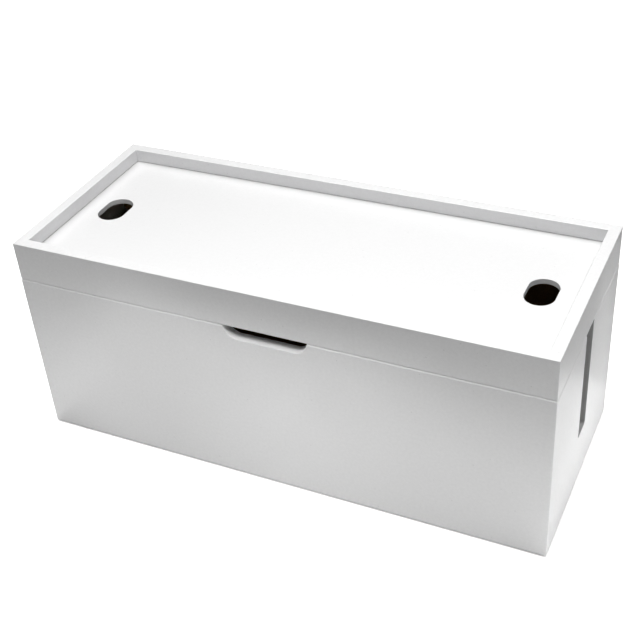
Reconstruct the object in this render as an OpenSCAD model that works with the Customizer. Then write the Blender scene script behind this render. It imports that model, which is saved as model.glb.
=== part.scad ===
// Box that hides a power strip and its spare cable on a desk or floor.
// Five boards make the open box and five more make the lift-off lid, whose
// sunk panel leaves a rimmed tray. Cables leave by two holes in the lid and by
// an open-topped slot in each end. Millimetres; X runs along the box, Y to its
// back and Z up, with the origin on the floor under the middle of the box.

/* [Box] */
// Outside length
box_w = 380; // [320:1:460]
// Outside depth, front to back
box_d = 154; // [130:1:220]
// Height of the closed box, without its feet
box_h = 158; // [120:1:200]
// Thickness of the wall boards and of the lid's rails
board_t = 8; // [6:0.5:12]
// Radius of the sanded outside edges
edge_r = 0.5; // [0.3:0.1:1.5]
// Radius of the walls' top outside edge, which shows as a line under the lid
seam_r = 2; // [0.5:0.25:3]

/* [Base] */
// Thickness of the base board
base_t = 6; // [4:0.5:9]
// Width of the rebate that holds the base board, cut into the walls
rebate_w = 4; // [2:0.5:5]

/* [Lid] */
// Height of the lid's rails
lid_h = 29; // [24:1:40]
// How far the lid stands back from the outside of the box, all round
lid_setback = 0.15; // [0:0.05:1]
// Depth of the tray, from the rim down to the panel
tray_depth = 10; // [6:0.5:14]
// Thickness of the tray's panel
panel_t = 4; // [3:0.5:5]
// Depth of the groove that holds the panel, cut into the rails
groove_w = 4; // [2:0.5:5]

/* [Cable holes in the lid] */
// Width of each hole, along the box
hole_w = 20; // [12:1:26]
// Length of each hole, across the box
hole_l = 30; // [28:1:60]
// From the end of the lid to the middle of a hole
hole_inset = 32; // [28:0.5:60]

/* [Cable slots in the ends] */
// Width of each slot
slot_w = 18; // [12:1:30]
// Height of the slot's floor above the underside of the box
slot_floor = 43; // [20:1:70]
// Radius of the slot's bottom corners
slot_r = 3; // [1:0.5:5]

/* [Finger notch in the front] */
// Width of the notch
notch_w = 60; // [40:1:100]
// Depth of the notch below the lid
notch_depth = 9.5; // [6:0.5:18]
// Radius of the notch's bottom corners
notch_r = 10; // [4:0.5:14]

/* [Sanded cuts] */
// Radius of the corners where a slot or notch meets the top of a board
mouth_r = 2; // [1:0.25:3]
// Width of the bevel round the holes, slots and notch
cut_bevel = 0.5; // [0.2:0.1:0.9]

/* [Locating blocks under the lid] */
// Length of a block's two straight sides
block_leg = 28; // [18:1:34]
// Width of the block's cut-off tips
block_tip = 5; // [2:0.5:8]
// How far a block reaches down into the box
block_drop = 8; // [5:0.5:14]
// Bevel that leads a block into the box
block_lead = 2; // [1:0.5:3]

/* [Feet] */
// Diameter of a foot
foot_d = 12; // [8:0.5:16]
// Thickness of a foot
foot_t = 1; // [0.8:0.1:3]
// From the outside faces of the box to the middle of a foot
foot_inset = 18; // [14:0.5:30]

/* [Fits] */
// Play of the base board in its rebate, on each side
base_play = 0.1; // [0.05:0.05:0.4]
// Play of the tray's panel in its groove, above it and at each edge
panel_play = 0.3; // [0.1:0.05:0.4]
// Play between a locating block and the inside of the box
block_play = 0.8; // [0.4:0.1:1.5]

/* [Hidden] */
$fn = 64;
// Length by which a cutter runs past the face it opens
past = 1;
// Depth by which two rounds that would only just touch cross each other
lap = 0.02;

// Heights, from the floor up
under_z = foot_t;
seam_z = under_z + box_h - lid_h;
rim_z = under_z + box_h;
tray_z = rim_z - tray_depth;
panel_under_z = tray_z - panel_t;
wall_h = seam_z - under_z;

// Inside of the box
inner_w = box_w - 2 * board_t;
inner_d = box_d - 2 * board_t;

// Outside and inside of the lid's frame
lid_w = box_w - 2 * lid_setback;
lid_d = box_d - 2 * lid_setback;
lid_inner_w = lid_w - 2 * board_t;
lid_inner_d = lid_d - 2 * board_t;

// A notch's corner can't be rounder than half its width
notch_corner_r = min(notch_r, notch_w / 2 - mouth_r);

paint = "#f2f2f0";
raw_wood = "#d8b98a";
fibreboard = "#8a7050";
foam = "#3c3c3e";

// ---------- placing a board ----------
// A board is drawn with X along its outside face, Y going into the box and Z up.

module at_front(depth) translate([0, -depth / 2, 0]) children();
module at_back(depth) translate([0, depth / 2, 0]) rotate([0, 0, 180]) children();
module at_right(width) translate([width / 2, 0, 0]) rotate([0, 0, 90]) children();
module at_left(width) translate([-width / 2, 0, 0]) rotate([0, 0, -90]) children();

// One corner of the box: x_side is -1 left or 1 right, y_side -1 front or 1 back
module at_corner(x_side, y_side) {
    mirror([x_side < 0 ? 1 : 0, 0, 0]) mirror([0, y_side < 0 ? 1 : 0, 0]) children();
}

// ---------- boards with mitred ends ----------

// What sanding takes off a square corner at the origin, whose board lies in +X and +Y
module corner_waste(r) {
    difference() {
        translate([-past, -past]) square(r + past);
        translate([r, r]) circle(r);
    }
}

// Plan of a board cut to 45 degrees at both ends, with its two outside tips rounded
module mitred_plan(length) {
    difference() {
        polygon([
            [-length / 2, 0], [length / 2, 0],
            [length / 2 - board_t, board_t], [board_t - length / 2, board_t],
        ]);
        for (side = [0, 1]) mirror([side, 0]) translate([-length / 2, 0]) corner_waste(edge_r);
    }
}

// Cross-section of a wall: X is into the box and Y up. The rebate is at its foot.
module wall_section() {
    difference() {
        square([board_t, wall_h]);
        corner_waste(edge_r);
        translate([0, wall_h]) mirror([0, 1]) corner_waste(seam_r);
        translate([board_t - rebate_w, -past]) square([rebate_w + past, base_t + past]);
    }
}

// Cross-section of a lid rail: both top edges and the lower outside edge are sanded
module rail_section() {
    difference() {
        square([board_t, lid_h]);
        corner_waste(edge_r);
        translate([0, lid_h]) mirror([0, 1]) corner_waste(edge_r);
        translate([board_t, lid_h]) rotate(180) corner_waste(edge_r);
        translate([board_t - groove_w, panel_under_z - seam_z])
            square([groove_w + past, panel_t + panel_play]);
    }
}

// A section run along a board, from the height low_z, and cut to the mitred plan
module mitred_board(length, low_z, height) {
    intersection() {
        translate([0, 0, low_z]) linear_extrude(height) mitred_plan(length);
        translate([-length / 2, 0, low_z]) rotate([90, 0, 90]) linear_extrude(length) children();
    }
}

module wall_board(length) mitred_board(length, under_z, wall_h) wall_section();
module rail_board(length) mitred_board(length, seam_z, lid_h) rail_section();

// ---------- cut-outs ----------
// A cutter is drawn with X and Y in the board's face and Z out of it, Z = 0 being
// the outside face. Its last stretch below that face flares by cut_bevel.

// Rounded rectangle w by l, centred, from Z = 0 up to h, growing by flare on every side
module flared_block(w, l, r, h, flare) {
    mid_x = w / 2 - r;
    mid_y = l / 2 - r;
    for (x = [-mid_x, mid_x], y = [-mid_y, mid_y])
        translate([x, y, 0]) cylinder(h = h, r1 = r, r2 = r + flare);
    if (mid_y > 0) flared_bar(w / 2, mid_y, h, flare);
    if (mid_x > 0) rotate([0, 0, 90]) flared_bar(l / 2, mid_x, h, flare);
}

// Straight middle of that block: its sides lie at +-reach on X and it runs +-run on Y
module flared_bar(reach, run, h, flare) {
    rotate([90, 0, 0]) translate([0, 0, -run]) linear_extrude(2 * run)
        polygon([[-reach, 0], [reach, 0], [reach + flare, h], [-reach - flare, h]]);
}

// Closed hole through a board of thickness t, bevelled on both faces
module round_ended_hole(w, l, t) {
    r = w / 2;
    translate([0, 0, -t - past]) flared_block(w, l, r, t + 2 * past, 0);
    translate([0, 0, -cut_bevel]) flared_block(w, l, r, cut_bevel + past, cut_bevel + past);
    translate([0, 0, cut_bevel - t]) mirror([0, 0, 1])
        flared_block(w, l, r, cut_bevel + past, cut_bevel + past);
}

// Rounded mouth of an open cut, on its +X side: the top of the board is Y = 0.
// The round is tangent to the board's top. It meets the cut's corner circle or,
// where the cut is deeper, its straight side, and crosses it by lap so that the
// two surfaces part cleanly. rise is how far the middle of the corner circle
// lies above the middle of the round.
module mouth_waste(w, depth, r, h, flare) {
    corner_x = w / 2 - r;
    rise = max(mouth_r + r - depth, 0);
    round_x = corner_x + sqrt(pow(r + mouth_r - lap, 2) - pow(rise, 2));
    difference() {
        linear_extrude(h) polygon([
            [corner_x, rise - mouth_r], [round_x, -mouth_r], [round_x, past], [corner_x, past],
        ]);
        translate([round_x, -mouth_r, 0]) cylinder(h = h, r1 = mouth_r, r2 = mouth_r - flare);
    }
}

// Cut that is open at the top of a board, from Z = 0 up to h
module open_cut_layer(w, depth, r, h, flare) {
    // The block's upper end stands in the air above the board
    full_l = depth + 2 * r + past;
    translate([0, full_l / 2 - depth, 0]) flared_block(w, full_l, r, h, flare);
    for (side = [0, 1]) mirror([side, 0, 0]) mouth_waste(w, depth, r, h, flare);
}

module open_cut(w, depth, r) {
    translate([0, 0, -board_t - past]) open_cut_layer(w, depth, r, board_t + 2 * past, 0);
    translate([0, 0, -cut_bevel]) open_cut_layer(w, depth, r, cut_bevel, cut_bevel);
}

// Stands a cutter up on a board, with its Y = 0 at the seam and its Z out of the box
module on_board_top() translate([0, 0, seam_z]) rotate([90, 0, 0]) children();

// ---------- the box ----------

module front_panel() {
    color(paint) at_front(box_d) difference() {
        wall_board(box_w);
        on_board_top() open_cut(notch_w, notch_depth, notch_corner_r);
    }
}

module back_panel() {
    color(paint) at_back(box_d) wall_board(box_w);
}

module end_board() {
    difference() {
        wall_board(box_d);
        on_board_top() open_cut(slot_w, wall_h - slot_floor, slot_r);
    }
}

module left_end_panel() {
    color(paint) at_left(box_w) end_board();
}

module right_end_panel() {
    color(paint) at_right(box_w) end_board();
}

module base_panel() {
    base_w = inner_w + 2 * (rebate_w - base_play);
    base_d = inner_d + 2 * (rebate_w - base_play);
    color(fibreboard) translate([-base_w / 2, -base_d / 2, under_z]) cube([base_w, base_d, base_t]);
}

// Self-adhesive disc, bevelled where it meets the floor
module foot(x_side, y_side) {
    foot_bevel = foot_t / 4;
    color(foam) at_corner(x_side, y_side)
        translate([box_w / 2 - foot_inset, box_d / 2 - foot_inset, 0])
        rotate_extrude() polygon([
            [0, 0], [foot_d / 2 - foot_bevel, 0], [foot_d / 2, foot_bevel], [foot_d / 2, foot_t], [0, foot_t],
        ]);
}

// ---------- the lid ----------

module lid_front_rail() {
    color(paint) at_front(lid_d) rail_board(lid_w);
}

module lid_back_rail() {
    color(paint) at_back(lid_d) rail_board(lid_w);
}

module lid_left_rail() {
    color(paint) at_left(lid_w) rail_board(lid_d);
}

module lid_right_rail() {
    color(paint) at_right(lid_w) rail_board(lid_d);
}

module lid_panel() {
    panel_w = lid_inner_w + 2 * (groove_w - panel_play);
    panel_d = lid_inner_d + 2 * (groove_w - panel_play);
    color(paint) difference() {
        translate([-panel_w / 2, -panel_d / 2, panel_under_z]) cube([panel_w, panel_d, panel_t]);
        for (side = [-1, 1]) translate([side * (lid_w / 2 - hole_inset), 0, tray_z])
            round_ended_hole(hole_w, hole_l, panel_t);
    }
}

// Outside of a block, seen along one wall: X is away from the wall and Y up.
// It bears on the rail, then steps back to clear the box and ends in a lead-in.
module block_section() {
    low_z = seam_z - block_drop;
    step = max(block_play - lid_setback, 0);
    polygon([
        [0, panel_under_z], [0, seam_z + block_play],
        [step, seam_z + block_play], [step, low_z + block_lead],
        [step + block_lead, low_z], [block_leg, low_z], [block_leg, panel_under_z],
    ]);
}

// Glued into a corner of the lid, against both rails and the panel
module locating_block(x_side, y_side) {
    plan = [[0, 0], [block_leg, 0], [block_leg, block_tip], [block_tip, block_leg], [0, block_leg]];
    height = block_drop + panel_under_z - seam_z;
    color(raw_wood) at_corner(x_side, y_side)
        translate([lid_inner_w / 2, lid_inner_d / 2, 0]) rotate([0, 0, 180]) intersection() {
            translate([0, 0, seam_z - block_drop]) linear_extrude(height) polygon(plan);
            translate([0, block_leg, 0]) rotate([90, 0, 0]) linear_extrude(block_leg) block_section();
            rotate([90, 0, 90]) linear_extrude(block_leg) block_section();
        }
}

front_panel();
back_panel();
left_end_panel();
right_end_panel();
base_panel();
foot(-1, -1);  // foot_front_left
foot(1, -1);  // foot_front_right
foot(-1, 1);  // foot_back_left
foot(1, 1);  // foot_back_right
lid_front_rail();
lid_back_rail();
lid_left_rail();
lid_right_rail();
lid_panel();
locating_block(-1, -1);  // locating_block_front_left
locating_block(1, -1);  // locating_block_front_right
locating_block(-1, 1);  // locating_block_back_left
locating_block(1, 1);  // locating_block_back_right
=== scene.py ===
import math

import bmesh
import bpy
from mathutils import Matrix, Vector


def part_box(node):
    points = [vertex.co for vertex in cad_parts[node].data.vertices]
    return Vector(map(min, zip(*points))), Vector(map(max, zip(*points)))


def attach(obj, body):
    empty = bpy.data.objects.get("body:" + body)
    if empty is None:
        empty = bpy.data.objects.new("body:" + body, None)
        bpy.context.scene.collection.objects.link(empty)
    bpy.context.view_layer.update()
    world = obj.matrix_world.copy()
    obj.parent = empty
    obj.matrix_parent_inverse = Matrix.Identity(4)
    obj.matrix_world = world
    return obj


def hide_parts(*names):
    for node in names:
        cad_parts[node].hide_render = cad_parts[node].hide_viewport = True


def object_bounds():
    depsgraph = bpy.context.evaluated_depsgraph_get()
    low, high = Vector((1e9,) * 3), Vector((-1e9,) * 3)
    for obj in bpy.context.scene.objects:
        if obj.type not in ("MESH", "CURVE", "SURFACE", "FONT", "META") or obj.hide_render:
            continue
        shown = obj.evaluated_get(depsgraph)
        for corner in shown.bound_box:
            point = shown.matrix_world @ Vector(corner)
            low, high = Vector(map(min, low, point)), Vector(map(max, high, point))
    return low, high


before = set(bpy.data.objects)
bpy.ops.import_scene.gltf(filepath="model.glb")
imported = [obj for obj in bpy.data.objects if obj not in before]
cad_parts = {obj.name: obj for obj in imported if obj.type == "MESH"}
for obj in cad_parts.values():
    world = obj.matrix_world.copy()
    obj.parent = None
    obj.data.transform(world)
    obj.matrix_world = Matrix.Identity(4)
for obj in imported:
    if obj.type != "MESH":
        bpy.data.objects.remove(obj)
cad_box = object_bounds()

# Dresses the cable box. Its boards are fibreboard, mitred at the corners, sanded, and sprayed with white
# lacquer from outside. A board is drawn lying along X, with its outside face at Y = 0, its inside towards +Y
# and its lower edge at Z = 0. Then it is turned and stood in its place. Lengths are in metres, most of them
# given in millimetres through mm().


def mm(size):
    """A size in millimetres, as metres."""
    return size * 0.001


# ---------- sizes that the source also gives ----------

EDGE_ROUND = mm(0.5)
MOUTH_ROUND = mm(2)
REBATE_DEPTH = mm(4)
REBATE_HEIGHT = mm(6)
GROOVE_DEPTH = mm(4)
GROOVE_PLAY = mm(0.3)
NOTCH_WIDTH = mm(60)
NOTCH_DEPTH = mm(9.5)
NOTCH_CORNER = mm(10)
SLOT_WIDTH = mm(18)
SLOT_FLOOR = mm(43)
SLOT_CORNER = mm(3)
HOLE_WIDTH = mm(20)
HOLE_LENGTH = mm(30)
HOLE_INSET = mm(32)
LID_SETBACK = mm(0.15)
BLOCK_LEG = mm(28)
BLOCK_TIP = mm(5)
BLOCK_PLAY = mm(0.8)
BLOCK_LEAD = mm(2)

# ---------- sizes that only show ----------

SEAM_ROUND = mm(1.6)
NOTCH_ROUND = mm(0.6)
CUT_ROUND = mm(0.3)
SANDED_EDGE = mm(0.35)
MITRE_LINE = mm(0.12)
BASE_ROUND = mm(0.3)
FOOT_ROUND = mm(0.25)

# ---------- how finely a round is drawn ----------

CORNER_STEPS = 12
MOUTH_STEPS = 8
SEAM_PASSES = 8
CIRCLE_STEPS = 48

# ---------- limits that tell places, corners and ways apart ----------

NEAR = 1e-6
CORNER_ANGLE = math.radians(30)
SMOOTH_ANGLE = math.radians(40)
# How much of a face's normal lies along an axis: over FACING it looks that way, under SIDEWAYS it doesn't.
FACING = 0.9
SIDEWAYS = 0.3

# ---------- sizes from the frame ----------

box_low, box_high = cad_box
wall_low, wall_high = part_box("front_panel")
rail_low, rail_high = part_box("lid_front_rail")
lid_low = Vector((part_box("lid_left_rail")[0].x, rail_low.y, rail_low.z))
lid_high = Vector((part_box("lid_right_rail")[1].x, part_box("lid_back_rail")[1].y, rail_high.z))
sheet_low, sheet_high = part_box("lid_panel")
base_low, base_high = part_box("base_panel")
block_low, block_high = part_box("locating_block_front_left")

box_width = box_high.x - box_low.x
box_depth = box_high.y - box_low.y
lid_width = lid_high.x - lid_low.x
lid_depth = lid_high.y - lid_low.y
board_thickness = wall_high.y - wall_low.y
wall_height = wall_high.z - wall_low.z
rail_height = rail_high.z - rail_low.z
seam_z = rail_low.z

# Cuts that are open at a wall's top. Their corners are rounded at the floor, and their edges on the outside.
NOTCH = {"width": NOTCH_WIDTH, "depth": NOTCH_DEPTH, "corner": NOTCH_CORNER, "edge_round": NOTCH_ROUND}
SLOT_DEPTH = wall_height - SLOT_FLOOR
SLOT = {"width": SLOT_WIDTH, "depth": SLOT_DEPTH, "corner": SLOT_CORNER, "edge_round": CUT_ROUND}


# ---------- drawing and working a board ----------

def pull(bm, vert, step):
    """Draws an edge from vert by step and gives its far end."""
    far = bmesh.ops.extrude_vert_indiv(bm, verts=[vert])["verts"][0]
    far.co += Vector(step)
    return far


def swing(bm, vert, centre, angle, steps):
    """Draws an arc from vert round centre, in the XZ plane, and gives its far end."""
    spun = bmesh.ops.spin(bm, geom=[vert], cent=centre, axis=(0, -1, 0), angle=angle, steps=steps)
    return [part for part in spun["geom_last"] if isinstance(part, bmesh.types.BMVert)][0]


def cut_edge_path(bm, vert, cut):
    """From the middle of an open cut's floor, round its corner and over its rounded mouth to the board's top.

    A cut too shallow for both rounds has no straight side: each round stops short of the upright by the tilt.
    """
    straight = cut["depth"] - cut["corner"] - MOUTH_ROUND
    tilt = math.asin(max(-straight, 0) / (MOUTH_ROUND + cut["corner"]))
    vert = pull(bm, vert, (cut["width"] / 2 - cut["corner"], 0, 0))
    corner_centre = vert.co + Vector((0, 0, cut["corner"]))
    vert = swing(bm, vert, corner_centre, math.pi / 2 - tilt, CORNER_STEPS)
    if straight > 0:
        vert = pull(bm, vert, (0, 0, straight))
    mouth_centre = vert.co + MOUTH_ROUND * Vector((math.cos(tilt), 0, -math.sin(tilt)))
    return swing(bm, vert, mouth_centre, tilt - math.pi / 2, MOUTH_STEPS)


def board_outline(bm, length, height, cut):
    """The board's outside face, as one flat face."""
    start = bm.verts.new((0, 0, height - (cut["depth"] if cut else 0)))
    vert = cut_edge_path(bm, start, cut) if cut else start
    vert = pull(bm, vert, (length / 2 - vert.co.x, 0, 0))
    vert = pull(bm, vert, (0, 0, -height))
    pull(bm, vert, (-length / 2, 0, 0))
    bmesh.ops.mirror(bm, geom=bm.verts[:] + bm.edges[:], axis="X", merge_dist=NEAR)
    bmesh.ops.remove_doubles(bm, verts=bm.verts[:], dist=NEAR)
    bmesh.ops.contextual_create(bm, geom=bm.edges[:])


def thicken(bm, faces, step, keep_start=False):
    """Pulls faces by step, with walls round them, and gives the pulled faces.

    The faces that it starts from stay only at a flat piece's first pull, as its other side.
    """
    pulled = bmesh.ops.extrude_face_region(bm, geom=faces)["geom"]
    bmesh.ops.translate(bm, vec=step, verts=[part for part in pulled if isinstance(part, bmesh.types.BMVert)])
    if not keep_start:
        bmesh.ops.delete(bm, geom=faces, context="FACES")
    return [part for part in pulled if isinstance(part, bmesh.types.BMFace)]


def split_at_height(bm, height):
    """Draws a line across the faces at a height, and cuts nothing off."""
    bmesh.ops.bisect_plane(bm, geom=bm.verts[:] + bm.edges[:] + bm.faces[:], dist=NEAR,
                           plane_co=(0, 0, height), plane_no=(0, 0, 1))


def cut_off(bm, place, outward):
    """Cuts off what lies outward of a plane and closes the cut."""
    sawn = bmesh.ops.bisect_plane(bm, geom=bm.verts[:] + bm.edges[:] + bm.faces[:], dist=NEAR,
                                  plane_co=place, plane_no=outward, clear_outer=True)
    rim = [part for part in sawn["geom_cut"] if isinstance(part, bmesh.types.BMEdge)]
    bmesh.ops.holes_fill(bm, edges=rim, sides=0)


def sharp_edges(bm, test):
    """Edges that are a corner of the piece and whose two ends pass the test together."""
    bm.normal_update()
    return [edge for edge in bm.edges if edge.is_manifold and edge.calc_face_angle() > CORNER_ANGLE
            and test(edge.verts[0].co, edge.verts[1].co)]


def round_over(bm, edges, radius, segments):
    """Rounds edges over. One segment is a flat bevel."""
    bmesh.ops.bevel(bm, geom=edges, offset=radius, offset_type="OFFSET", segments=segments, profile=0.5,
                    affect="EDGES", clamp_overlap=True, material=-1)


def plane_round(bm, height, radius, passes):
    """Rounds the top outside edge with straight passes of a plane, right through any cut."""
    for count in range(passes):
        low, middle = (math.pi / 2 * (count + share) / passes for share in (0, 0.5))
        place = (0, radius * (1 - math.cos(low)), height - radius * (1 - math.sin(low)))
        cut_off(bm, place, (0, -math.cos(middle), math.sin(middle)))


# ---------- where an edge with ends a and b lies on a board ----------

def on_outside(a, b):
    return max(abs(a.y), abs(b.y)) < NEAR


def on_inside(a, b):
    return min(a.y, b.y) > board_thickness - NEAR


def on_foot(a, b):
    return max(a.z, b.z) < NEAR


def on_top(a, b, height):
    return min(a.z, b.z) > height - NEAR


def on_ends(a, b, end_x):
    return min(abs(a.x), abs(b.x)) > end_x - NEAR


# ---------- making a wall or a rail ----------

def hollowed_board(length, height, hollow, depth, cut=None):
    """A board with sharp edges, whose inside lies deeper by depth between the hollow's two heights."""
    bm = bmesh.new()
    board_outline(bm, length, height, cut)
    for level in hollow:
        if NEAR < level < height:
            split_at_height(bm, level)
    inside = thicken(bm, bm.faces[:], (0, board_thickness - depth, 0), keep_start=True)
    full = [face for face in inside if not hollow[0] < face.calc_center_bounds().z < hollow[1]]
    thicken(bm, full, (0, depth, 0))
    bmesh.ops.recalc_face_normals(bm, faces=bm.faces[:])
    return bm


def ease_wall(bm, end_x, height, cut):
    """Rounds a wall's cut, its edge along the seam, its ends and foot, and its inside above the rebate."""
    def cut_outside(a, b):
        return on_outside(a, b) and not on_ends(a, b, end_x) and not on_foot(a, b)

    def ends_or_foot(a, b):
        in_rebate = abs(a.x - b.x) < NEAR and min(a.y, b.y) > board_thickness - REBATE_DEPTH - NEAR
        at_end = on_ends(a, b, end_x) and not on_inside(a, b) and not in_rebate
        return at_end or (on_outside(a, b) and on_foot(a, b))

    def inside_above_rebate(a, b):
        above = min(a.z, b.z) > REBATE_HEIGHT + NEAR
        return on_inside(a, b) and above and not on_ends(a, b, end_x)

    cut_round = cut["edge_round"] if cut else CUT_ROUND
    round_over(bm, sharp_edges(bm, cut_outside), cut_round, segments=4)
    plane_round(bm, height, SEAM_ROUND, SEAM_PASSES)
    round_over(bm, sharp_edges(bm, ends_or_foot), EDGE_ROUND, segments=6)
    round_over(bm, sharp_edges(bm, inside_above_rebate), SANDED_EDGE, segments=3)


def ease_rail(bm, end_x, height):
    """Rounds a rail's outside edges and the edge round the tray, and sands its inside foot."""
    def outside_or_top(a, b):
        across_end = on_ends(a, b, end_x) and (on_top(a, b, height) or on_foot(a, b))
        round_tray = on_inside(a, b) and on_top(a, b, height)
        return on_outside(a, b) or across_end or round_tray

    def inside_foot(a, b):
        return on_inside(a, b) and on_foot(a, b)

    round_over(bm, sharp_edges(bm, outside_or_top), EDGE_ROUND, segments=6)
    round_over(bm, sharp_edges(bm, inside_foot), SANDED_EDGE, segments=3)


def mitre_ends(bm, end_x, height):
    """Saws both ends to 45 degrees and breaks the mitre's edge across the top, which shows as a fine line."""
    for side in (-1, 1):
        cut_off(bm, (side * end_x, 0, 0), (side, 1, 0))

    def across_top(a, b):
        on_mitre = all(abs(abs(end.x) + end.y - end_x) < 2 * NEAR for end in (a, b))
        return on_mitre and min(a.z, b.z) > height - EDGE_ROUND

    round_over(bm, sharp_edges(bm, across_top), MITRE_LINE, segments=1)


# ---------- finishing a piece and putting it in its place ----------

# A piece takes up to three finishes, which its faces call by number: its coat, bare board, and a third,
# mostly a painted shade.
COAT, BARE, CUT_OR_SHADE = range(3)


def give_finishes(bm, pick):
    """Gives each face the finish that pick names for its middle and the way it faces."""
    bm.normal_update()
    for face in bm.faces:
        face.material_index = pick(face.calc_center_median(), face.normal)


def stand_up(bm, side, low, high):
    """Turns a board to its side of a frame that reaches from low to high, and lifts it to its height."""
    angle, place = {
        "front": (0, (0, low.y, low.z)),
        "right": (math.pi / 2, (high.x, 0, low.z)),
        "back": (math.pi, (0, high.y, low.z)),
        "left": (-math.pi / 2, (low.x, 0, low.z)),
    }[side]
    turn = Matrix.Translation(place) @ Matrix.Rotation(angle, 4, "Z")
    bmesh.ops.transform(bm, matrix=turn, verts=bm.verts[:])


def make_piece(bm, name, body, node, materials):
    """Makes the piece, with its finishes, hangs it on what it rides on, and hides the node that it stands
    for.
    """
    bmesh.ops.dissolve_degenerate(bm, dist=NEAR, edges=bm.edges[:])
    bmesh.ops.recalc_face_normals(bm, faces=bm.faces[:])
    mesh = bpy.data.meshes.new(name)
    bm.to_mesh(mesh)
    bm.free()
    for material in materials:
        mesh.materials.append(material)
    mesh.shade_smooth()
    mesh.set_sharp_from_angle(angle=SMOOTH_ANGLE)
    piece = bpy.data.objects.new(name, mesh)
    bpy.context.scene.collection.objects.link(piece)
    even = piece.modifiers.new("flat_faces_stay_flat", "WEIGHTED_NORMAL")
    even.keep_sharp = True
    even.weight = 100
    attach(piece, body)
    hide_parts(node)


# ---------- finishes ----------

# The sockets of a Mix or a Math node share their names, so they are called by number.
SHARE, NUMBER_A, NUMBER_B, COLOUR_A, COLOUR_B = 0, 2, 3, 6, 7
MIXED_NUMBER, MIXED_COLOUR = 0, 2
FIRST, SECOND = 0, 1

# At a scale of 1, a wave texture's bands repeat at this distance.
WAVE_REPEAT = math.tau / 20


def linear(hex_colour):
    """An sRGB hex colour as the linear colour that a shader takes."""
    parts = [int(hex_colour[i:i + 2], 16) / 255 for i in (0, 2, 4)]
    return tuple(p / 12.92 if p <= 0.04045 else ((p + 0.055) / 1.055) ** 2.4 for p in parts) + (1.0,)


def per_metre(size_mm):
    """Texture scale whose pattern repeats about every size_mm."""
    return 1000 / size_mm


def add_node(tree, kind, inputs=None, **settings):
    """Adds a node, sets it up, and fills its sockets with values or with links from other nodes' sockets."""
    made = tree.nodes.new(kind)
    for key, value in settings.items():
        setattr(made, key, value)
    for socket, value in (inputs or {}).items():
        if isinstance(value, bpy.types.NodeSocket):
            tree.links.new(value, made.inputs[socket])
        else:
            made.inputs[socket].default_value = value
    return made


def new_finish(name):
    """An empty material and its node tree."""
    material = bpy.data.materials.new(name)
    material.use_nodes = True
    material.node_tree.nodes.clear()
    return material, material.node_tree


def close_finish(tree, colour, roughness, ior, height, strength, depth):
    """Ends a piece's finish: a skin of this colour and gloss, which stands up by depth where height is 1."""
    relief = add_node(tree, "ShaderNodeBump", {"Strength": strength, "Distance": depth, "Height": height})
    skin = add_node(tree, "ShaderNodeBsdfPrincipled", {
        "Base Color": colour, "Roughness": roughness, "IOR": ior, "Normal": relief.outputs["Normal"]})
    add_node(tree, "ShaderNodeOutputMaterial", {"Surface": skin.outputs["BSDF"]})


def sprayed_white_lacquer(name, darker, lighter, dust, rail_shade=None, rail_shade_within=0):
    """Two-pack lacquer, sprayed and left as sprayed: satin sheen, slight orange peel and a few dust specks.

    The coat drifts between two whites. Its last two arguments: a painted shade's colour by the left and back
    rails, and its reach.
    """
    material, tree = new_finish(name)
    place = add_node(tree, "ShaderNodeTexCoord").outputs["Object"]
    peel = add_node(tree, "ShaderNodeTexNoise", {"Vector": place, "Scale": per_metre(1.6), "Detail": 2.0})
    mist = add_node(tree, "ShaderNodeTexNoise", {"Vector": place, "Scale": per_metre(2.2), "Detail": 1.0})
    cloud = add_node(tree, "ShaderNodeTexNoise", {"Vector": place, "Scale": per_metre(45), "Detail": 3.0})
    # One speck in each 9 mm cell. It fades out from 0.03 to 0.06 of a cell, so it is under 1 mm across.
    speck = add_node(tree, "ShaderNodeTexVoronoi", {"Vector": place, "Scale": per_metre(9)})
    nib = add_node(tree, "ShaderNodeMapRange", {
        "Value": speck.outputs["Distance"], "From Min": 0.03, "From Max": 0.06, "To Min": 1.0, "To Max": 0.0})
    cover = add_node(tree, "ShaderNodeMix", {
        SHARE: 0.3, NUMBER_A: mist.outputs["Fac"], NUMBER_B: cloud.outputs["Fac"]})
    shade = add_node(tree, "ShaderNodeMix", {
        SHARE: cover.outputs[MIXED_NUMBER], COLOUR_A: linear(darker), COLOUR_B: linear(lighter)},
        data_type="RGBA")
    tint = add_node(tree, "ShaderNodeMix", {
        SHARE: nib.outputs["Result"], COLOUR_A: shade.outputs[MIXED_COLOUR], COLOUR_B: linear(dust)},
        data_type="RGBA").outputs[MIXED_COLOUR]
    # Painted shade along the foot of the tray's left and back rails.
    if rail_shade:
        tint = painted_shade_near_rails(tree, place, tint, linear(rail_shade), rail_shade_within)
    sheen = add_node(tree, "ShaderNodeMapRange", {"Value": peel.outputs["Fac"], "To Min": 0.3, "To Max": 0.4})
    bumps = add_node(tree, "ShaderNodeMath", {FIRST: nib.outputs["Result"], SECOND: peel.outputs["Fac"]},
                     operation="ADD")
    close_finish(tree, tint, sheen.outputs["Result"], ior=1.5,
                 height=bumps.outputs["Value"], strength=0.35, depth=mm(0.03))
    return material


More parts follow.
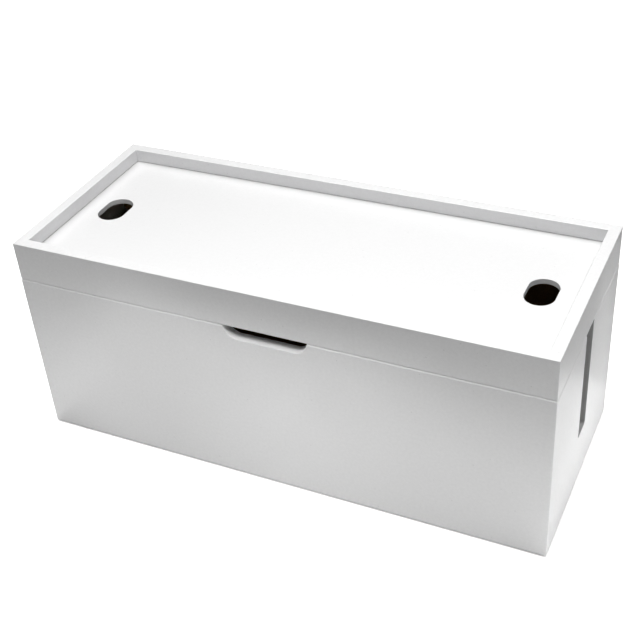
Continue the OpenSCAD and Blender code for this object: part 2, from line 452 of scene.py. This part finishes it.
def painted_shade_near_rails(tree, place, plain_coat, painted_rail_shade, reach):
    """Mixes in a painted shade near the inside faces of the left and back rails, most of it close to them."""
    apart = add_node(tree, "ShaderNodeSeparateXYZ", {"Vector": place})
    to_left = add_node(tree, "ShaderNodeMath", {
        FIRST: apart.outputs["X"], SECOND: lid_low.x + board_thickness}, operation="SUBTRACT")
    to_back = add_node(tree, "ShaderNodeMath", {
        FIRST: lid_high.y - board_thickness, SECOND: apart.outputs["Y"]}, operation="SUBTRACT")
    nearest = add_node(tree, "ShaderNodeMath", {
        FIRST: to_left.outputs["Value"], SECOND: to_back.outputs["Value"]}, operation="MINIMUM")
    closeness = add_node(tree, "ShaderNodeMapRange", {
        "Value": nearest.outputs["Value"], "From Min": 0.0, "From Max": reach, "To Min": 1.0, "To Max": 0.0})
    steeper = add_node(tree, "ShaderNodeMath", {FIRST: closeness.outputs["Result"], SECOND: 2.0},
                       operation="POWER")
    return add_node(tree, "ShaderNodeMix", {
        SHARE: steeper.outputs["Value"], COLOUR_A: plain_coat, COLOUR_B: painted_rail_shade},
        data_type="RGBA").outputs[MIXED_COLOUR]


# Given dark greys, as in the slot and the holes, its colour is painted shade.
def lacquer_on_routed_edge(name, through, darker, lighter):
    """The same lacquer on a routed edge, which soaks some of it up: duller, with the board's layers showing.

    through is the axis that runs through the board's thickness. The layers are drawn 0.7 mm thick, because a
    fibreboard's own, of about 0.2 mm, are too fine to show.
    """
    material, tree = new_finish(name)
    place = add_node(tree, "ShaderNodeTexCoord").outputs["Object"]
    stretch = [per_metre(9)] * 3
    stretch["XYZ".index(through)] = per_metre(0.7)
    layers = add_node(tree, "ShaderNodeMapping", {"Vector": place, "Scale": stretch})
    grain = add_node(tree, "ShaderNodeTexNoise", {
        "Vector": layers.outputs["Vector"], "Scale": 1.0, "Detail": 3.0}).outputs["Fac"]
    shade = add_node(tree, "ShaderNodeMix", {
        SHARE: grain, COLOUR_A: linear(darker), COLOUR_B: linear(lighter)}, data_type="RGBA")
    close_finish(tree, shade.outputs[MIXED_COLOUR], roughness=0.6, ior=1.5,
                 height=grain, strength=0.6, depth=mm(0.12))
    return material


def raw_fibreboard(name, overspray):
    """Bare fibreboard: pressed brown fibres, dull. With overspray, a mist of white lacquer lies by the seam.

    The fibres are drawn 0.9 mm across and the mist's drops 0.6 mm, because real ones are too fine to show.
    """
    material, tree = new_finish(name)
    place = add_node(tree, "ShaderNodeTexCoord").outputs["Object"]
    fibre = add_node(tree, "ShaderNodeTexNoise", {
        "Vector": place, "Scale": per_metre(0.9), "Detail": 5.0, "Roughness": 0.7}).outputs["Fac"]
    patch = add_node(tree, "ShaderNodeTexNoise", {"Vector": place, "Scale": per_metre(60), "Detail": 2.0})
    both = add_node(tree, "ShaderNodeMix", {SHARE: 0.2, NUMBER_A: fibre, NUMBER_B: patch.outputs["Fac"]})
    brown = add_node(tree, "ShaderNodeValToRGB", {"Fac": both.outputs[MIXED_NUMBER]})
    for stop, position, hex_colour in zip(brown.color_ramp.elements, (0.25, 0.75), ("655039", "937855")):
        stop.position = position
        stop.color = linear(hex_colour)
    colour = brown.outputs["Color"]
    if overspray:
        colour = misted_by_seam(tree, place, colour, linear("E2E1DD"))
    close_finish(tree, colour, roughness=0.75, ior=1.45, height=fibre, strength=0.5, depth=mm(0.08))
    return material


def misted_by_seam(tree, place, bare, mist_colour):
    """Mixes in the mist's drops: full at the seam, and thinning out over the 16 mm above and below it."""
    height = add_node(tree, "ShaderNodeSeparateXYZ", {"Vector": place}).outputs["Z"]
    above = add_node(tree, "ShaderNodeMath", {FIRST: height, SECOND: seam_z}, operation="SUBTRACT")
    away = add_node(tree, "ShaderNodeMath", {FIRST: above.outputs["Value"]}, operation="ABSOLUTE")
    mist = add_node(tree, "ShaderNodeMapRange", {
        "Value": away.outputs["Value"], "From Min": mm(1), "From Max": mm(16), "To Min": 1.0, "To Max": 0.0},
        interpolation_type="SMOOTHSTEP")
    drops = add_node(tree, "ShaderNodeTexNoise", {"Vector": place, "Scale": per_metre(0.6), "Detail": 1.0})
    wet = add_node(tree, "ShaderNodeMath", {FIRST: mist.outputs["Result"], SECOND: drops.outputs["Fac"]},
                   operation="ADD")
    cover = add_node(tree, "ShaderNodeMapRange", {
        "Value": wet.outputs["Value"], "From Min": 0.6, "From Max": 1.15})
    return add_node(tree, "ShaderNodeMix", {
        SHARE: cover.outputs["Result"], COLOUR_A: bare, COLOUR_B: mist_colour},
        data_type="RGBA").outputs[MIXED_COLOUR]


def planed_pine(name):
    """Planed pine, left bare: pale summer wood between darker, harder winter rings, about 5 mm apart."""
    material, tree = new_finish(name)
    place = add_node(tree, "ShaderNodeTexCoord").outputs["Object"]
    # The rings run aslant to the block's sides, as they do in a plank.
    turn = add_node(tree, "ShaderNodeMapping", {
        "Vector": place, "Rotation": (0.1, 0.3, 0.6)}).outputs["Vector"]
    rings = add_node(tree, "ShaderNodeTexWave", {
        "Vector": turn, "Scale": WAVE_REPEAT * per_metre(5.13), "Distortion": 3.0, "Detail": 2.0,
        "Detail Scale": 1.5}, wave_type="BANDS")
    fine = add_node(tree, "ShaderNodeMapping", {
        "Vector": turn, "Scale": (per_metre(0.4), per_metre(0.4), per_metre(8))})
    streak = add_node(tree, "ShaderNodeTexNoise", {
        "Vector": fine.outputs["Vector"], "Scale": 1.0, "Detail": 3.0}).outputs["Fac"]
    ring = add_node(tree, "ShaderNodeMix", {
        SHARE: rings.outputs["Fac"], COLOUR_A: linear("D9BC8A"), COLOUR_B: linear("B98F56")},
        data_type="RGBA")
    shade = add_node(tree, "ShaderNodeMix", {
        SHARE: streak, COLOUR_A: ring.outputs[MIXED_COLOUR], COLOUR_B: linear("CBA873")}, data_type="RGBA")
    close_finish(tree, shade.outputs[MIXED_COLOUR], roughness=0.6, ior=1.5,
                 height=streak, strength=0.4, depth=mm(0.06))
    return material


def closed_cell_foam(name):
    """Black closed-cell foam, cut from sheet: matt, with burst cells."""
    material, tree = new_finish(name)
    place = add_node(tree, "ShaderNodeTexCoord").outputs["Object"]
    cells = add_node(tree, "ShaderNodeTexVoronoi", {
        "Vector": place, "Scale": per_metre(0.5)}).outputs["Distance"]
    shade = add_node(tree, "ShaderNodeMix", {
        SHARE: cells, COLOUR_A: linear("2A2A2B"), COLOUR_B: linear("4A4A4B")}, data_type="RGBA")
    close_finish(tree, shade.outputs[MIXED_COLOUR], roughness=0.85, ior=1.4,
                 height=cells, strength=0.8, depth=mm(0.1))
    return material


lacquer = sprayed_white_lacquer("white_lacquer_sprayed", "DDDDDD", "E9E9E9", "D3D3D3")
# The tray's coat turns to B2B2B2 within 9 mm of its left and back rails: painted shade.
tray_lacquer = sprayed_white_lacquer("white_lacquer_sprayed_tray", "DFDFDF", "E5E5E5", "D5D5D5",
                                     rail_shade="B2B2B2", rail_shade_within=mm(9))
# Painted shade: a darker white for the rails' inside faces above the tray.
painted_shade_lacquer = sprayed_white_lacquer("white_lacquer_painted_shade_inside_rim", "CDCDCE", "D7D7D8", "C4C4C5")
routed_notch = lacquer_on_routed_edge("white_lacquer_on_routed_notch", "Y", "E6E6E6", "F2F2F2")
# The slot's and the holes' edges take far darker greys than the notch's: painted shade.
routed_slot = lacquer_on_routed_edge("painted_shade_lacquer_on_routed_slot", "X", "9B9B9B", "B3B3B3")
routed_hole = lacquer_on_routed_edge("painted_shade_lacquer_on_routed_hole", "Z", "AFAFAF", "CBCBCB")
bare_wall = raw_fibreboard("bare_fibreboard_with_overspray", True)
bare_sheet = raw_fibreboard("bare_fibreboard", False)
pine = planed_pine("planed_pine")
foam = closed_cell_foam("closed_cell_foam")


# ---------- the box's walls ----------

def wall_finish(cut):
    """Lacquer outside and on the edges, bare board inside, and the cut's coat in the cut and on its mouth
    (painted shade in slots).
    """
    def pick(centre, normal):
        if normal.y > FACING:
            return BARE
        if cut and abs(centre.x) < cut["width"] / 2 + MOUTH_ROUND and abs(normal.y) < SIDEWAYS:
            if wall_height - cut["depth"] - NEAR < centre.z < wall_height - NEAR:
                return CUT_OR_SHADE
        return COAT
    return pick


WALLS = (
    ("front_wall", "front_panel", "front", box_width, NOTCH, routed_notch),
    ("back_wall", "back_panel", "back", box_width, None, routed_notch),
    ("left_end_wall", "left_end_panel", "left", box_depth, SLOT, routed_slot),
    ("right_end_wall", "right_end_panel", "right", box_depth, SLOT, routed_slot),
)
for name, node, side, length, cut, routed in WALLS:
    board = hollowed_board(length, wall_height, (0, REBATE_HEIGHT), REBATE_DEPTH, cut)
    ease_wall(board, length / 2, wall_height, cut)
    mitre_ends(board, length / 2, wall_height)
    give_finishes(board, wall_finish(cut))
    stand_up(board, side, Vector((box_low.x, box_low.y, wall_low.z)), box_high)
    make_piece(board, name, "box", node, (lacquer, bare_wall, routed))


# ---------- the lid's rails ----------

def rail_finish(centre, normal):
    """Lacquer outside, a darker white that paints shade above the tray, and bare board in the groove and
    below it.
    """
    if normal.y > FACING:
        return CUT_OR_SHADE if centre.z > sheet_high.z - seam_z else BARE
    return COAT


RAILS = (
    ("front_rail", "lid_front_rail", "front", lid_width),
    ("back_rail", "lid_back_rail", "back", lid_width),
    ("left_rail", "lid_left_rail", "left", lid_depth),
    ("right_rail", "lid_right_rail", "right", lid_depth),
)
GROOVE = (sheet_low.z - seam_z, sheet_high.z - seam_z + GROOVE_PLAY)
for name, node, side, length in RAILS:
    board = hollowed_board(length, rail_height, GROOVE, GROOVE_DEPTH)
    ease_rail(board, length / 2, rail_height)
    mitre_ends(board, length / 2, rail_height)
    give_finishes(board, rail_finish)
    stand_up(board, side, lid_low, lid_high)
    make_piece(board, name, "lid", node, (lacquer, bare_wall, painted_shade_lacquer))


# ---------- the tray's sheet, the base and the small pieces ----------

def tray_sheet():
    """A thin sheet with two holes, each a round one pulled out into a slot."""
    bm = bmesh.new()
    half_x = (sheet_high.x - sheet_low.x) / 2
    half_y = (sheet_high.y - sheet_low.y) / 2
    corners = bmesh.ops.create_grid(bm, x_segments=1, y_segments=1, size=1.0)["verts"]
    bmesh.ops.scale(bm, vec=(half_x, half_y, 1), verts=corners)
    bmesh.ops.delete(bm, geom=bm.faces[:], context="FACES_ONLY")
    # Half a step's turn puts no corner of the circle on its middle, where it is parted.
    half_step = Matrix.Rotation(math.pi / CIRCLE_STEPS, 4, "Z")
    for side in (-1, 1):
        middle = Matrix.Translation((side * (lid_high.x - HOLE_INSET), 0, 0))
        ring = bmesh.ops.create_circle(bm, segments=CIRCLE_STEPS, radius=HOLE_WIDTH / 2,
                                       matrix=middle @ half_step)["verts"]
        for way in (-1, 1):
            bmesh.ops.translate(bm, vec=(0, way * (HOLE_LENGTH - HOLE_WIDTH) / 2, 0),
                                verts=[vert for vert in ring if vert.co.y * way > 0])
    bmesh.ops.triangle_fill(bm, use_beauty=True, edges=bm.edges[:], normal=(0, 0, 1))
    thicken(bm, bm.faces[:], (0, 0, sheet_high.z - sheet_low.z), keep_start=True)
    bmesh.ops.recalc_face_normals(bm, faces=bm.faces[:])

    inner_x = half_x - mm(1)
    inner_y = half_y - mm(1)

    def round_a_hole(a, b):
        clear_of_rim = max(abs(a.x), abs(b.x)) < inner_x and max(abs(a.y), abs(b.y)) < inner_y
        return clear_of_rim and abs(a.z - b.z) < NEAR

    def pick(centre, normal):
        """Lacquer on top, bare board below, and a grey of painted shade in the holes and on the long edges in
        the grooves.
        """
        if normal.z < -FACING:
            return BARE
        return CUT_OR_SHADE if abs(normal.z) < SIDEWAYS and abs(centre.x) < inner_x else COAT

    round_over(bm, sharp_edges(bm, round_a_hole), CUT_ROUND, segments=4)
    bmesh.ops.translate(bm, vec=(0, 0, sheet_low.z), verts=bm.verts[:])
    give_finishes(bm, pick)
    make_piece(bm, "tray_sheet", "lid", "lid_panel", (tray_lacquer, bare_sheet, routed_hole))


def base_sheet():
    """A plain board with its sawn edges broken."""
    bm = bmesh.new()
    bmesh.ops.create_cube(bm, size=1.0)
    bmesh.ops.scale(bm, vec=base_high - base_low, verts=bm.verts[:])
    bmesh.ops.translate(bm, vec=(base_low + base_high) / 2, verts=bm.verts[:])
    round_over(bm, bm.edges[:], BASE_ROUND, segments=2)
    make_piece(bm, "base_sheet", "box", "base_panel", (bare_sheet,))


def corner_block(name, node, x_side, y_side):
    """A cut-off triangle of wood that steps back below the seam and tapers in at its foot."""
    bm = bmesh.new()
    plan = [(0, 0), (BLOCK_LEG, 0), (BLOCK_LEG, BLOCK_TIP), (BLOCK_TIP, BLOCK_LEG), (0, BLOCK_LEG)]
    face = bm.faces.new([bm.verts.new((x, y, block_high.z)) for x, y in plan])
    step_z = seam_z + BLOCK_PLAY
    lead_z = block_low.z + BLOCK_LEAD
    pulls = (
        (step_z - block_high.z, 0),
        (0, BLOCK_PLAY - LID_SETBACK),
        (lead_z - step_z, 0),
        (-BLOCK_LEAD, BLOCK_LEAD),
    )
    for count, (drop, inset) in enumerate(pulls):
        (face,) = thicken(bm, [face], (0, 0, drop), keep_start=count == 0)
        low_x = min(vert.co.x for vert in face.verts)
        low_y = min(vert.co.y for vert in face.verts)
        bmesh.ops.translate(bm, vec=(inset, 0, 0), verts=[v for v in face.verts if v.co.x - low_x < NEAR])
        bmesh.ops.translate(bm, vec=(0, inset, 0), verts=[v for v in face.verts if v.co.y - low_y < NEAR])
    bmesh.ops.recalc_face_normals(bm, faces=bm.faces[:])
    round_over(bm, sharp_edges(bm, lambda a, b: max(a.z, b.z) < seam_z), SANDED_EDGE, segments=2)
    corner = Vector((x_side * (lid_high.x - board_thickness), y_side * (lid_high.y - board_thickness), 0))
    turn = Matrix.Translation(corner) @ Matrix.Diagonal((-x_side, -y_side, 1, 1))
    bmesh.ops.transform(bm, matrix=turn, verts=bm.verts[:])
    make_piece(bm, name, "lid", node, (pine,))


def foam_foot(name, node):
    """A stamped disc, its lower edge pressed round by the weight on it."""
    low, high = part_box(node)
    radius = (high.x - low.x) / 2
    bm = bmesh.new()
    bmesh.ops.create_cone(bm, cap_ends=True, segments=CIRCLE_STEPS, radius1=radius, radius2=radius,
                          depth=high.z - low.z)
    bmesh.ops.translate(bm, vec=(low + high) / 2, verts=bm.verts[:])
    bmesh.ops.recalc_face_normals(bm, faces=bm.faces[:])
    round_over(bm, sharp_edges(bm, lambda a, b: max(a.z, b.z) < low.z + NEAR), FOOT_ROUND, segments=3)
    make_piece(bm, name, "box", node, (foam,))


tray_sheet()
base_sheet()
for y_name, y_side in (("front", -1), ("back", 1)):
    for x_name, x_side in (("left", -1), ("right", 1)):
        corner_block(f"corner_block_{y_name}_{x_name}", f"locating_block_{y_name}_{x_name}", x_side, y_side)
        foam_foot(f"foam_foot_{y_name}_{x_name}", f"foot_{y_name}_{x_name}")


# ---------- camera ----------

LENS_MM = 64.715
SENSOR_MM = 36
NEAREST_SEEN = 0.01
CAMERA_PLACE = Vector((0.3028, -0.5832, 0.5620))
CAMERA_LOOK = Vector((-0.37257, 0.72070, -0.58462)).normalized()
# The way to the picture's right, still to be squared to the look.
ABOUT_RIGHT = Vector((0.90646, 0.41757, -0.06291))

camera = bpy.data.objects.new("camera", bpy.data.cameras.new("camera"))
bpy.context.scene.collection.objects.link(camera)
bpy.context.scene.camera = camera
camera.data.lens = LENS_MM
camera.data.sensor_width = SENSOR_MM
camera.data.clip_start = NEAREST_SEEN
right = (ABOUT_RIGHT - ABOUT_RIGHT.dot(CAMERA_LOOK) * CAMERA_LOOK).normalized()
up = right.cross(CAMERA_LOOK)
turn = Matrix((right, up, -CAMERA_LOOK)).transposed().to_4x4()
camera.matrix_world = Matrix.Translation(CAMERA_PLACE) @ turn


# ---------- floor and bounce cards ----------

FLOOR_REACH = 20
CARD_DROP = mm(1)
STRIP_DROP = mm(0.5)
SHADE_REACH = mm(6)
BACKDROP_GLOW = 0.85


def flat_card(name, x_range, y_range, z):
    """A flat card that isn't part of the object."""
    bm = bmesh.new()
    corners = bmesh.ops.create_grid(bm, x_segments=1, y_segments=1, size=0.5)["verts"]
    bmesh.ops.scale(bm, vec=(x_range[1] - x_range[0], y_range[1] - y_range[0], 1), verts=corners)
    bmesh.ops.translate(bm, vec=(sum(x_range) / 2, sum(y_range) / 2, z), verts=corners)
    mesh = bpy.data.meshes.new(name)
    bm.to_mesh(mesh)
    bm.free()
    card = bpy.data.objects.new(name, mesh)
    bpy.context.scene.collection.objects.link(card)
    return card


def card_finish(name, hex_colour, glow=0):
    """Matt white card, glowing like a lit table; ambient occlusion paints a contact shadow into the glow near
    the box.
    """
    material, tree = new_finish(name)
    inputs = {"Base Color": linear(hex_colour), "Roughness": 1.0, "Specular IOR Level": 0.0,
              "Emission Color": linear("FFFFFF")}
    if glow:
        # Painted contact shadow: the glow is dimmed by ambient occlusion within SHADE_REACH of the box.
        open_sky = add_node(tree, "ShaderNodeAmbientOcclusion", {"Distance": SHADE_REACH}, samples=8)
        lit = add_node(tree, "ShaderNodeMath", {FIRST: open_sky.outputs["AO"], SECOND: glow},
                       operation="MULTIPLY")
        inputs["Emission Strength"] = lit.outputs["Value"]
    skin = add_node(tree, "ShaderNodeBsdfPrincipled", inputs)
    add_node(tree, "ShaderNodeOutputMaterial", {"Surface": skin.outputs["BSDF"]})
    return material


# The floor only shows. What it would throw back on the box comes from smaller cards under it, whose edges
# give the box's sides their soft change from light to dark.
floor = flat_card("pale_floor", (-FLOOR_REACH, FLOOR_REACH), (-FLOOR_REACH, FLOOR_REACH), 0)
floor.data.materials.append(card_finish("white_lit_table", "EBEBEB", BACKDROP_GLOW))
floor.visible_diffuse = False
floor.visible_glossy = False
floor.visible_shadow = False

# Each card's name and its reach along X and Y.
BOUNCE_CARDS = (
    ("bounce_card_right", (box_high.x, 0.45), (-0.35, 0.11)),
    ("bounce_card_left", (-0.55, box_low.x), (-0.35, 0.11)),
    ("bounce_card_under", (box_low.x, box_high.x), (-0.076, 0.11)),
    ("bounce_card_back", (-0.55, 0.17), (0.11, 0.5)),
)
white_card = card_finish("white_card", "F5F5F5")
for name, x_range, y_range in BOUNCE_CARDS:
    card = flat_card(name, x_range, y_range, -CARD_DROP)
    card.data.materials.append(white_card)
    card.visible_camera = False


# ---------- lights ----------

LAMP_AIM = (0, 0, 0.1)
TO_BACK = (0, 1, 0)
TO_FRONT = (0, -1, 0)
TO_LEFT = (-1, 0, 0)
TO_RIGHT = (1, 0, 0)
# How far out the rows of low panels stand: two in front of the box and one off its right end.
FAR_ROW_Y = -0.35
NEAR_ROW_Y = -0.22
END_ROW_X = 0.33


def softbox(name, place, aim, size, watts, spread=180):
    """A lit panel. spread is the angle of its light; below 180 degrees it has a grid in front."""
    light = bpy.data.lights.new(name, "AREA")
    light.shape = "RECTANGLE"
    light.size, light.size_y = size
    light.energy = watts
    light.spread = math.radians(spread)
    lamp = bpy.data.objects.new(name, light)
    bpy.context.scene.collection.objects.link(lamp)
    lamp.location = place
    lamp.rotation_euler = (Vector(aim) - Vector(place)).to_track_quat("-Z", "Y").to_euler()
    lamp.visible_camera = False
    return lamp


def lit_strip(name, x_range, y_range, watts):
    """A strip of the lit table, shining straight up."""
    middle = Vector((sum(x_range) / 2, sum(y_range) / 2, -STRIP_DROP))
    size = (x_range[1] - x_range[0], y_range[1] - y_range[0])
    strip = softbox(name, middle, middle + Vector((0, 0, 1)), size, watts)
    strip.visible_glossy = False


def low_fill(name, place, size, watts, spread, facing=TO_BACK):
    """A low panel that lights one upright face, and doesn't mirror in the lacquer."""
    fill = softbox(name, place, Vector(place) + Vector(facing), size, watts, spread)
    fill.visible_glossy = False


# Overhead panels light the tray and the rims, and fade down the sides.
softbox("softbox_front", (0, -0.37, 1.1), LAMP_AIM, (0.2, 0.15), 4.2)
softbox("softbox_front_low", (0, -0.52, 1.05), LAMP_AIM, (0.2, 0.15), 3.35)
softbox("softbox_front_left", (-0.25, -0.52, 1.05), LAMP_AIM, (0.3, 0.15), 0.25)
softbox("softbox_above_left", (-0.25, 0, 1.2), LAMP_AIM, (0.3, 0.2), 2.95)
softbox("softbox_above_right", (0.45, 0.15, 1.1), LAMP_AIM, (0.3, 0.3), 5.5)

# These light the right end, the last two its lower half.
softbox("softbox_right", (0.8, 0.1, 0.35), (box_high.x, 0, 0.1), (0.3, 0.3), 0.17)
softbox("softbox_right_low", (0.36, -0.05, 0.05), (box_high.x, -0.05, 0.05), (0.25, 0.1), 0.105)
softbox("softbox_right_far", (0.42, 0.06, 0.04), (box_high.x, 0.06, 0.04), (0.16, 0.06), 0.019, spread=50)

# The lit table in front of the box and to its right lights the foot of both faces.
lit_strip("lit_strip_near", (-0.35, 0.25), (-0.137, -0.078), 0.031)
lit_strip("lit_strip_right", (0.25, 0.45), (-0.3, 0.11), 0.149)

# The front: a row across its lower half, its foot, a nearer row across its upper half, and the seam.
for part, x, watts in (("left", -0.14, 0.0155), ("middle", 0, 0.033), ("right", 0.14, 0.0215)):
    low_fill(f"low_fill_{part}", (x, FAR_ROW_Y, 0.055), (0.14, 0.06), watts, 50)
low_fill("low_fill_foot", (0, FAR_ROW_Y, 0.02), (0.5, 0.04), 0.012, 50)
low_fill("near_fill_foot", (0, -0.2, 0.005), (0.38, 0.01), 0.0035, 40)
low_fill("near_fill_foot_left", (-0.14, NEAR_ROW_Y, 0.04), (0.06, 0.04), 0.0022, 50)
for part, x, watts in (("left", -0.1, 0.0023), ("middle", 0, 0.0014), ("right", 0.1, 0.001)):
    low_fill(f"near_fill_{part}", (x, NEAR_ROW_Y, 0.105), (0.08, 0.03), watts, 50)
for part, x, watts in (("left", -0.06, 0.0014), ("right", 0.05, 0.0013)):
    low_fill(f"near_fill_seam_{part}", (x, NEAR_ROW_Y, 0.12), (0.1, 0.02), watts, 30)

# The upper half of the right end, and last the back and the left end.
low_fill("near_fill_end_high", (END_ROW_X, 0.05, 0.14), (0.04, 0.03), 0.0015, 40, TO_LEFT)
low_fill("near_fill_end_back", (END_ROW_X, 0.05, 0.1), (0.04, 0.03), 0.0006, 50, TO_LEFT)
low_fill("near_fill_end_front", (END_ROW_X, -0.065, 0.125), (0.03, 0.03), 0.0006, 30, TO_LEFT)
low_fill("low_fill_back", (-0.1, 0.8, 0.08), (0.5, 0.1), 1.6, 180, TO_FRONT)
low_fill("low_fill_left_end", (-0.9, 0.1, 0.08), (0.3, 0.1), 1.6, 180, TO_RIGHT)


# ---------- backdrop ----------

# The camera sees a bright backdrop. The object gets only a dim, even light from it.
DIM_LIGHT = (0.03, 0.03, 0.03, 1)
BRIGHT_BACKDROP = (BACKDROP_GLOW, BACKDROP_GLOW, BACKDROP_GLOW, 1)

world = bpy.data.worlds.new("studio")
bpy.context.scene.world = world
world.use_nodes = True
ray = add_node(world.node_tree, "ShaderNodeLightPath")
shown = add_node(world.node_tree, "ShaderNodeMix", {
    SHARE: ray.outputs["Is Camera Ray"], COLOUR_A: DIM_LIGHT, COLOUR_B: BRIGHT_BACKDROP}, data_type="RGBA")
backdrop = world.node_tree.nodes["Background"]
world.node_tree.links.new(shown.outputs[MIXED_COLOUR], backdrop.inputs["Color"])
bpy.context.scene.view_settings.view_transform = "Standard"
